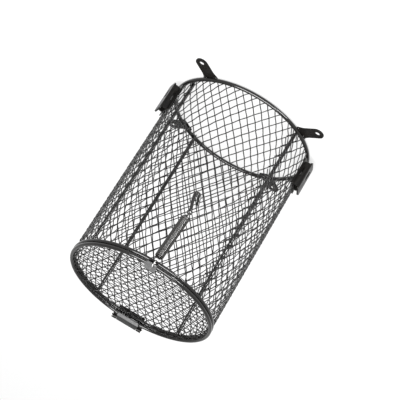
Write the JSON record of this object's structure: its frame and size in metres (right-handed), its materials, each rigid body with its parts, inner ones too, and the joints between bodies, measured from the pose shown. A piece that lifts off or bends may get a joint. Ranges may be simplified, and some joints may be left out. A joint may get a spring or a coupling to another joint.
{
  "type": "heat lamp guard cage",
  "caption": "Round black woven-wire guard for a heat lamp, open at the screw-tab end, with a hinged mesh lid held shut by a spring and hook.",
  "frame": {"origin": "centre of the bounding box's floor, which is the cage's axis in the mounting plane under the four screw tabs", "axes": "+Z along the cage's axis from the mounting plane to the lid; the latch is at -Y and the lid's hinge at +Y"},
  "size_m": [0.161, 0.1674, 0.211],
  "materials": {
    "lacquered_wire": "glossy black lacquer on round steel wire",
    "woven_mesh": "black lacquer on crimped woven wire",
    "lacquered_plate": "glossy black lacquer on pressed sheet",
    "lid_plate": "thin grey-black lacquer on pressed sheet",
    "spring_wire": "oiled dark spring wire",
    "bright_wire": "bright drawn steel"
  },
  "bodies": {
    "cage_body": {"open_ring": "lacquered_wire", "body_rim": "lacquered_wire", "wall_mesh": "woven_mesh", "rib_1": "lacquered_wire", "rib_2": "lacquered_wire", "rib_3": "lacquered_wire", "rib_4": "lacquered_wire", "mounting_tab_1": "lacquered_plate", "mounting_tab_2": "lacquered_plate", "mounting_tab_3": "lacquered_plate", "mounting_tab_4": "lacquered_plate", "side_saddle_left": "lacquered_plate", "side_saddle_right": "lacquered_plate", "side_strap_left": "lacquered_plate", "side_strap_right": "lacquered_plate", "hinge_body_leaf": "lacquered_plate", "hinge_pin": "bright_wire"},
    "lid": {"lid_rim": "lacquered_wire", "lid_mesh": "woven_mesh", "hinge_lid_leaf": "lid_plate", "latch_tab": "lid_plate"},
    "spring": {"spring_top_loop": "bright_wire", "latch_spring": "spring_wire"},
    "hook": {"spring_lower_loop": "spring_wire", "latch_hook": "lacquered_wire"}
  },
  "joints": [
    {"name": "lid_hinge", "type": "hinge", "parent": "cage_body", "child": "lid", "pos_m": [0, 0.0815, 0.20655], "axis": [-1, 0, 0], "range_deg": [0, 180]},
    {"name": "latch_swing", "type": "hinge", "parent": "lid", "child": "spring", "pos_m": [0, -0.0807, 0.20805], "axis": [-1, 0, 0], "range_deg": [0, 120]},
    {"name": "spring_stretch", "type": "slide", "parent": "spring", "child": "hook", "axis": [-0.0471, 0, -0.9989], "range_m": [0, 0.02], "stiffness_N_per_m": 400, "deforming": ["latch_spring"]}
  ]
}
